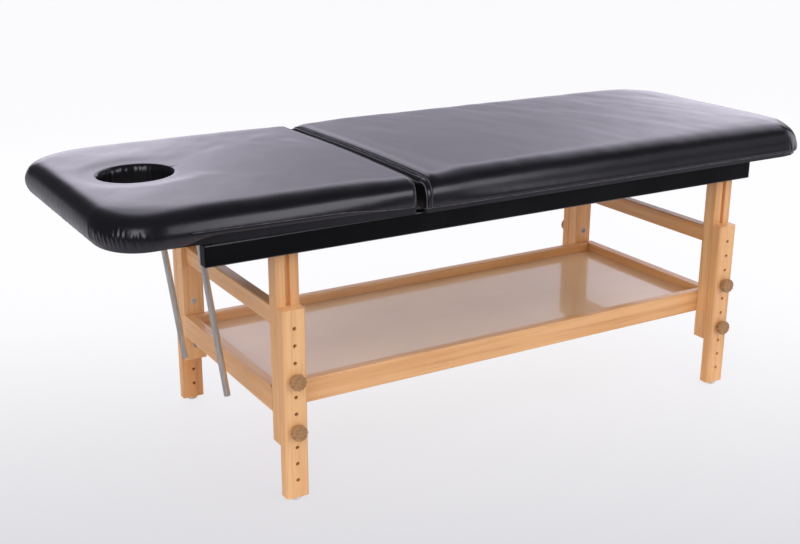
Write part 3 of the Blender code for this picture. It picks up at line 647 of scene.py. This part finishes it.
    def side_rings(self):
        """The rings of the lower edge, sewn or wrapped over the board's, and of the rolled side."""
        rings = []
        for sewn, wrapped in zip(self.sewn_edge, self.wrapped_edge):
            ring = []
            for (x, y), (u, v) in zip(self.ring(sewn[0]), self.ring(wrapped[0])):
                share = min(max((self.wrap_reach - abs(x - self.outer_x)) / self.wrap_blend, 0), 1)
                share *= share * (3 - 2 * share)
                along = max(self.out * (x - self.outer_x) + self.corner, 0)
                across = max(abs(y) - self.half + self.corner, 0)
                bunch = 1 + self.bunched * 2 * along * across / max(along**2 + across**2, 1e-9)
                place = zip((x, y, sewn[1]), (u, v, wrapped[1] * bunch))
                ring.append(tuple(part + (other - part) * share for part, other in place))
            rings.append(ring)
        rings.append([(x, y, self.side_base) for x, y in self.ring(0)])
        for step in range(1, self.side_steps + 1):
            inset = self.shoulder * (1 - math.cos(math.pi / 2 * step / self.side_steps))
            plan = self.ring(inset)
            rings.append([(x, y, min(self.rolled(inset, x), self.top_at(x, y))) for x, y in plan])
        return rings

    def top_rings(self, targets, steps):
        """The rings of the top, from the rolled side in to the target places."""
        start = self.ring(self.shoulder)
        rings = []
        for step in range(1, steps + 1):
            share = (step / steps) ** 1.75
            ring = []
            for (x, y), (u, v) in zip(start, targets):
                x, y = x + (u - x) * share, y + (v - y) * share
                ring.append((x, y, self.top_at(x, y)))
            rings.append(ring)
        return rings

    def round_the_edge(self, places):
        """How far along its edge each place is from where the outer corner's bend starts."""
        along = self.out * (places[:, 0] - self.outer_x) + self.corner
        across = np.abs(places[:, 1]) - self.half + self.corner
        bend = self.corner * np.arctan2(np.maximum(along, 0), np.maximum(across, 1e-6))
        past = self.corner * math.pi / 2 - across
        return np.where(along < 0, along, np.where(across < 0, past, bend))


def close_across(form, loop, twin):
    """Closes a ring that is alike on both sides with strips across it, given the first point's twin."""
    count = len(loop)
    for start, end in ((0, twin), (twin, count)):
        for step in range((end - start + 1) // 2):
            corners = [start + step, start + step + 1, end - step - 1, end - step]
            around = list(dict.fromkeys(loop[corner % count] for corner in corners))
            if len(around) > 2:
                form.faces.new(around)


def skin(name, rings, seam_z, hollow):
    """A closed mesh through the rings, which joins the last to the first if it is hollow."""
    form = bmesh.new()
    loops = [[form.verts.new((x, y, z + seam_z)) for x, y, z in ring] for ring in rings]
    if hollow:
        loops.append(loops[0])
    for below, above in zip(loops, loops[1:]):
        for step, start in enumerate(below):
            after = (step + 1) % len(below)
            form.faces.new((start, below[after], above[after], above[step]))
    if not hollow:
        lowest = rings[0]
        x, y = lowest[0][:2]
        twin = min(range(len(lowest)), key=lambda k: abs(lowest[k][0] - x) + abs(lowest[k][1] + y))
        close_across(form, loops[0], twin)
        close_across(form, loops[-1], twin)
    bmesh.ops.recalc_face_normals(form, faces=form.faces)
    mesh = bpy.data.meshes.new(name)
    form.to_mesh(mesh)
    form.free()
    made = bpy.data.objects.new(name, mesh)
    bpy.context.scene.collection.objects.link(made)
    return made


vinyl_mass, foam_pressure, cloth_frames = 0.3, 1.2, 20
most_swell, patch, patch_margin, patch_reach, patch_spread = 0.004, 0.010, 12, 10, 3.2


def blown_up(cover, start, held):
    """How far each point moves when the foam pushes the cover out as cloth, with these points held."""
    cover.vertex_groups.new(name="held").add(held.tolist(), 1.0, "REPLACE")
    cloth = cover.modifiers.new("stretched_vinyl", "CLOTH")
    cloth.settings.vertex_group_mass = "held"
    cloth.settings.mass = vinyl_mass
    cloth.settings.quality = 4
    cloth.settings.use_pressure = True
    cloth.settings.uniform_pressure_force = foam_pressure
    cloth.settings.effector_weights.gravity = 0
    cloth.collision_settings.use_collision = False
    for tick in range(1, cloth_frames + 1):
        bpy.context.scene.frame_set(tick)
    shown = cover.evaluated_get(bpy.context.evaluated_depsgraph_get())
    moved = np.array([point.co for point in shown.data.vertices]) - start
    cover.modifiers.clear()
    cover.vertex_groups.clear()
    bpy.context.scene.frame_set(1)
    return moved


def spread(grid):
    """The grid with each patch's value shared out softly over the patches round it."""
    nearness = np.exp(-((np.arange(-patch_reach, patch_reach + 1) / patch_spread) ** 2))
    for way in (0, 1):
        grid = np.apply_along_axis(lambda line: np.convolve(line, nearness, "same"), way, grid)
    return grid


def evened(start, moved):
    """The points' movements, evened out over the plan of the cover in square patches."""
    plan = (start[:, :2] - start[:, :2].min(axis=0)) / patch
    spots = np.floor(plan).astype(int) + patch_margin
    size = tuple(spots.max(axis=0) + patch_margin + 1)
    spot = spots[:, 0] * size[1] + spots[:, 1]
    crowd = np.bincount(spot, minlength=size[0] * size[1])
    taken = spread((crowd > 0).astype(float).reshape(size))
    u, v = (plan + patch_margin - 0.5).T
    i, j = u.astype(int), v.astype(int)
    p, q = u - i, v - j
    smooth = np.empty_like(moved)
    for axis in range(3):
        total = np.bincount(spot, weights=moved[:, axis], minlength=size[0] * size[1])
        even = spread((total / np.maximum(crowd, 1)).reshape(size)) / np.maximum(taken, 0.01)
        before = (1 - q) * even[i, j] + q * even[i, j + 1]
        beyond = (1 - q) * even[i + 1, j] + q * even[i + 1, j + 1]
        smooth[:, axis] = (1 - p) * before + p * beyond
    return smooth


def swell(cover, ease):
    """Blows the vinyl up over its foam as cloth. The swell is evened out over the cover in patches, is
    nowhere more than most_swell, and is eased off to nothing where the vinyl is sewn or stapled down."""
    start = np.array([point.co for point in cover.data.vertices])
    eased = ease(*start.T)
    moved = evened(start, blown_up(cover, start, np.flatnonzero(eased < 0.001))) * eased[:, None]
    far = np.linalg.norm(moved, axis=1, keepdims=True) + 1e-9
    kept = start + moved * most_swell * np.tanh(far / most_swell) / far
    cover.data.vertices.foreach_set("co", kept.ravel())
    cover.data.update()


def refine(cover):
    """Rounds the cover off with one level of subdivision, worked into its mesh."""
    cover.modifiers.new("soft", "SUBSURF").levels = 1
    mesh = bpy.data.meshes.new_from_object(cover.evaluated_get(bpy.context.evaluated_depsgraph_get()))
    cover.modifiers.clear()
    cover.data = mesh


def work_in(cover, rise_at):
    """Raises or sinks the cover's points along their normals by the heights that rise_at gives."""
    mesh = cover.data
    places = np.array([point.co for point in mesh.vertices])
    normals = np.array([point.normal for point in mesh.vertices])
    mesh.vertices.foreach_set("co", (places + normals * rise_at(places)[:, None]).ravel())
    mesh.update()


def fade(values, start, end):
    """1 before the start, 0 past the end, and a smooth fall between."""
    share = np.clip((values - start) / (end - start), 0, 1)
    return 1 - share * share * (3 - 2 * share)


def drapes(places, seed, longest, shortest):
    """Broad soft waves of the stretched vinyl, from about -1 to 1, most of them across the table."""
    pick = np.random.default_rng(seed)
    waves = np.zeros(len(places))
    for wave in range(9):
        length = longest * (shortest / longest) ** (wave / 8)
        heading = pick.normal(0, 0.75)
        phase, sway = pick.uniform(0, 2 * math.pi, 2)
        run = places[:, 0] * math.cos(heading) + places[:, 1] * math.sin(heading)
        run = run + 0.012 * np.sin(places[:, 1] * 21 + sway)
        waves += (length / longest) ** 0.8 * np.sin(2 * math.pi * run / length + phase)
    return waves / 3.2


def pleats(round_edge, height, seed, start, end, pitch, depth, tall):
    """Small folds gathered under the seam: sharp sunk lines with a swell between each two."""
    pick = np.random.default_rng(seed)
    rise = np.zeros(len(height))
    line = start
    while line < end:
        sink = depth * pick.uniform(0.55, 1.0)
        top = tall * pick.uniform(0.55, 1.0)
        lean = pick.uniform(-0.22, 0.22)
        off = round_edge - line - lean * height
        fades = np.clip(1 - height / top, 0, 1) ** 0.9
        rise -= sink * fades * np.exp(-((off / (0.0018 + 0.04 * np.clip(height, 0, 0.06))) ** 2))
        rise += 0.55 * sink * fades * np.exp(-(((off - 0.5 * pitch) / (0.36 * pitch)) ** 2))
        line += pitch * pick.uniform(0.75, 1.3)
    return rise


def dress(cover, section, body):
    """Gives the cover its vinyl, and puts it on its body in the place of the foam solid."""
    cover.data.shade_smooth()
    cover.data.materials.append(vinyl_finish(cover.name + "_vinyl", creases=0.34))
    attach(cover, body)
    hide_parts(section)


body_length = 1.226


def body_thinning(run):
    """The body's foam thins a little towards the joint, and more at the foot end."""
    return 0.0042 * math.exp(-run / 0.28) + 0.0075 * math.exp((run - body_length) / 0.09)


body_cushion = Cushion(
    joint_x=-0.2555, outer_x=0.9705, seam_z=0.6346, height=0.0806, crown=0.005,
    thinning=body_thinning, corner=0.102, roll_width=0.050,
)
body_cushion.end_in(joint_corner=0.006, joint_round=(0.036, 0.024), joint_power=1.5, wrap_reach=0.0)
body_cushion.corner_fall = 0.8
body_middle = (body_cushion.joint_x + body_cushion.outer_x) / 2
top_steps = 24
inner_line = []
for x, y in body_cushion.ring(body_cushion.shoulder):
    inner_line.append((body_middle + 0.5 * (x - body_middle), 0.15 * y))
body_rings = body_cushion.side_rings() + body_cushion.top_rings(inner_line, top_steps)
body_cover = skin("body_cover", body_rings, body_cushion.seam_z, hollow=False)


def body_ease(x, y, z):
    """How freely the body's vinyl swells: not at all at the seam and by the joint, and fully on top."""
    return fade(-z, -0.665, -0.6436) * fade(-x, 0.10, 0.235)


swell(body_cover, body_ease)
refine(body_cover)
box_welt = 0.0150


def body_work(places):
    """The boxed band at the joint, the gathers at the foot corners, and the waves of the top."""
    height = places[:, 2] - body_cushion.seam_z
    from_joint = places[:, 0] - body_cushion.joint_x
    round_edge = body_cushion.round_the_edge(places)
    band = 0.0003 * np.sin(np.clip(from_joint / box_welt, 0, 1) * math.pi) ** 2
    sewn = -0.0010 * np.exp(-(((from_joint - box_welt) / 0.0022) ** 2)) * fade(height, 0.10, 0.11)
    near = places[:, 1] < 0
    gathers = np.where(
        near,
        pleats(round_edge, height, 21, -0.01, 0.21, pitch=0.017, depth=0.0011, tall=0.050),
        pleats(round_edge, height, 22, -0.01, 0.19, pitch=0.018, depth=0.0011, tall=0.050),
    )
    scallops = pleats(round_edge, height, 23, -1.16, -0.02, pitch=0.034, depth=0.0004, tall=0.032)
    waves = 0.0006 * drapes(places, seed=24, longest=0.23, shortest=0.055)
    waves *= fade(-from_joint, -0.09, -0.02)
    waves *= fade(-height, -0.075, -0.03)
    return band + sewn + gathers + scallops + waves


work_in(body_cover, body_work)
dress(body_cover, "body_cushion", "table")


# Head cushion: a thinner foam block with a face hole, which thins towards its outer end. Its vinyl is
# drawn down through the hole over a rolled lip, wraps the board's outer edge, and is gathered in small
# pleats under the two outer corners.
def head_thinning(run):
    """The head's foam thins evenly away from the joint."""
    return 0.0175 * run


head_cushion = Cushion(
    joint_x=-0.2785, outer_x=-0.9705, seam_z=0.6424, height=0.0698, crown=0.006,
    thinning=head_thinning, corner=0.128, roll_width=0.047,
)
head_cushion.end_in(joint_corner=0.010, joint_round=(0.016, 0.010), joint_power=2.0, wrap_reach=0.235)
hole_x, brim, throat, dish_edge, dish_depth = -0.7895, 0.0875, 0.0800, 0.126, 0.0002


def dished(ring):
    """The ring with the cushion's top drawn down towards the face hole."""
    sunk = []
    for x, y, z in ring:
        near_hole = min(max((dish_edge - math.hypot(x - hole_x, y)) / (dish_edge - brim), 0), 1)
        sunk.append((x, y, z - dish_depth * near_hole**1.7))
    return sunk


brim_line = []
for x, y in head_cushion.ring(head_cushion.shoulder):
    spoke = math.hypot(x - hole_x, y)
    brim_line.append((hole_x + (x - hole_x) * brim / spoke, y * brim / spoke))
head_rings = head_cushion.side_rings()
head_rings += [dished(ring) for ring in head_cushion.top_rings(brim_line, top_steps)]
mouth = head_rings[-1]
roll_drop, roll_steps = 0.020, 7
for step in range(1, roll_steps + 1):
    angle = math.pi / 2 * step / roll_steps
    reach = brim - (brim - throat) * math.sin(angle)
    fall = roll_drop * (0.06 * math.sin(angle) + 0.94 * (1 - math.cos(angle)))
    ring = [(hole_x + (x - hole_x) * reach / brim, y * reach / brim, z - fall) for x, y, z in mouth]
    head_rings.append(ring)
lip = head_rings[-1]
for share in (0.14, 0.28, 0.42, 0.56, 0.70, 0.85, 1.0):
    head_rings.append([(x, y, z * (1 - share)) for x, y, z in lip])
head_cover = skin("head_cover", head_rings, head_cushion.seam_z, hollow=True)


def head_ease(x, y, z):
    """How freely the head's vinyl swells: not at all at the seam, by the joint and round the face hole."""
    from_hole = np.hypot(x - hole_x, y)
    return fade(-z, -0.673, -0.6514) * fade(x, -0.39, -0.292) * fade(-from_hole, -0.165, -0.089)


swell(head_cover, head_ease)
refine(head_cover)


def head_work(places):
    """The gathers at the outer corners and end, the folds round the face hole, and the waves of the top."""
    height = places[:, 2] - head_cushion.seam_z
    from_joint = head_cushion.joint_x - places[:, 0]
    round_edge = head_cushion.round_the_edge(places)
    near = places[:, 1] < 0
    corner_end = head_cushion.corner * math.pi / 2
    raised_height = height + 0.010
    near_end, far_end = corner_end - 0.01, corner_end - 0.02
    gathers = np.where(
        near,
        pleats(round_edge, raised_height, 31, 0.035, near_end, pitch=0.0100, depth=0.0030, tall=0.050),
        pleats(round_edge, raised_height, 32, 0.015, far_end, pitch=0.0110, depth=0.0026, tall=0.048),
    )
    gathers *= 1 - fade(height, -0.012, 0.002)
    mid_end = corner_end + 0.235
    scallops = pleats(round_edge, height, 33, corner_end, mid_end, pitch=0.027, depth=0.0012, tall=0.036)
    scallops += pleats(round_edge, height, 34, -0.56, 0.0, pitch=0.034, depth=0.0004, tall=0.030)
    x, y = places[:, 0] - hole_x, places[:, 1]
    from_hole = np.hypot(x, y)
    turn = np.arctan2(y, x)
    folds = 0.6 * np.sin(19 * turn + 2 * np.sin(3 * turn)) + 0.5 * np.sin(37 * turn + 1.3)
    wall = 0.0006 * folds * fade(np.abs(from_hole - throat), 0.0005, 0.004)
    crease = -0.0016 * np.exp(-(((y - 0.012) / 0.0028) ** 2)) * (x > 0)
    crease *= fade(np.abs(from_hole - 0.086), 0.004, 0.013)
    waves = 0.0005 * drapes(places, seed=35, longest=0.19, shortest=0.05)
    waves *= fade(-from_joint, -0.07, -0.02)
    waves *= fade(-height, -0.062, -0.03) * fade(-from_hole, -0.15, -0.10)
    return gathers + scallops + wall + crease + waves


work_in(head_cover, head_work)
hinge_place = Vector((-0.2635, 0, 0.6889))
rest_lean = Matrix.Rotation(math.radians(0.8), 4, "Y")
rest_tilt = Matrix.Translation(hinge_place) @ rest_lean @ Matrix.Translation(-hinge_place)
head_cover.data.transform(rest_tilt)
dress(head_cover, "head_cushion", "head_section")


# Welts: thin cords covered in vinyl, sewn into the seams. Two cross the body by the joint and one the
# head, and one runs along each cushion's lower seam. Their grey, far paler than the cushions' black, is
# a painted highlight, and it is paler still in patches where they are rubbed.
edge_cord, seam_cord, raised = 0.0026, 0.0020, 0.30
seam_rise, seam_inset, head_climb = 0.0013, 0.0006, 0.0100
piping = new_finish("seam_piping")
piping_sheen_and_wear = noise(piece_place(), 60.0, 3.0)
# The cords' grey is a painted highlight, paler in rubbed patches.
feed(
    piping,
    Base_Color=blend(piping_sheen_and_wear.above(0.35, 0.7), (0.055, 0.052, 0.060), (0.120, 0.114, 0.130)),
    Roughness=0.34 + piping_sheen_and_wear * 0.15,
)


def welt(name, cover, path, thickness, body, closed=False):
    """A thin vinyl-covered cord sewn along this path on the cover."""
    surface = BVHTree.FromObject(cover, bpy.context.evaluated_depsgraph_get())
    line = bpy.data.curves.new(name, "CURVE")
    line.dimensions = "3D"
    line.bevel_depth = thickness / 2
    line.bevel_resolution = 2
    line.use_fill_caps = True
    spline = line.splines.new("POLY")
    spline.points.add(len(path) - 1)
    spline.use_cyclic_u = closed
    for point, place in zip(spline.points, path):
        on_cover, normal = surface.find_nearest(place)[:2]
        point.co = (*(on_cover + normal * thickness * raised), 1)
    made = bpy.data.objects.new(name, line)
    bpy.context.scene.collection.objects.link(made)
    line.materials.append(piping)
    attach(made, body)


def over_the_top(cushion, inward):
    """A path over the cushion from its near side to its far one, this far in from the joint end."""
    x = cushion.joint_x + cushion.out * inward
    tucked = 0.3 * max(cushion.joint_corner - inward, 0)
    side = -cushion.half + tucked
    half = [(x, side, cushion.seam_z + rise) for rise in (0.0015, 0.004, 0.0065)]
    depths = [cushion.shoulder * (1 - math.cos(math.pi / 2 * step / 16)) for step in range(17)]
    depths += [cushion.shoulder + (cushion.half - cushion.shoulder) * step / 24 for step in range(1, 25)]
    for depth in depths:
        half.append((x, side + depth, cushion.seam_z + cushion.top_at(x, -cushion.half + depth)))
    return half + [(x, -y, z) for x, y, z in reversed(half[:-1])]


welt("body_edge_welt", body_cover, over_the_top(body_cushion, inward=0.0020), edge_cord, "table")
welt("body_box_welt", body_cover, over_the_top(body_cushion, inward=box_welt), edge_cord, "table")
head_edge = [tuple(rest_tilt @ Vector(place)) for place in over_the_top(head_cushion, inward=0.0035)]
welt("head_edge_welt", head_cover, head_edge, edge_cord, "head_section")
body_seam = [(x, y, body_cushion.seam_z + seam_rise) for x, y in body_cushion.ring(seam_inset)]
welt("body_seam_welt", body_cover, body_seam, seam_cord, "table", closed=True)

# The head's seam climbs from the joint, and ends where the vinyl wraps the board instead.
head_seam = []
for x, y in head_cushion.ring(seam_inset):
    climb = head_climb * (1 - fade(head_cushion.joint_x - x, 0.015, 0.20))
    head_seam.append(Vector((x, y, head_cushion.seam_z + seam_rise + climb)))
sewn = [place.x > head_cushion.outer_x + 0.175 for place in head_seam]
far_start = len(sewn) - sewn[::-1].index(False)
sewn_line = head_seam[far_start:] + head_seam[: sewn.index(False)]
head_line = [rest_tilt @ place for place in sewn_line]
welt("head_seam_welt", head_cover, head_line, seam_cord, "head_section")
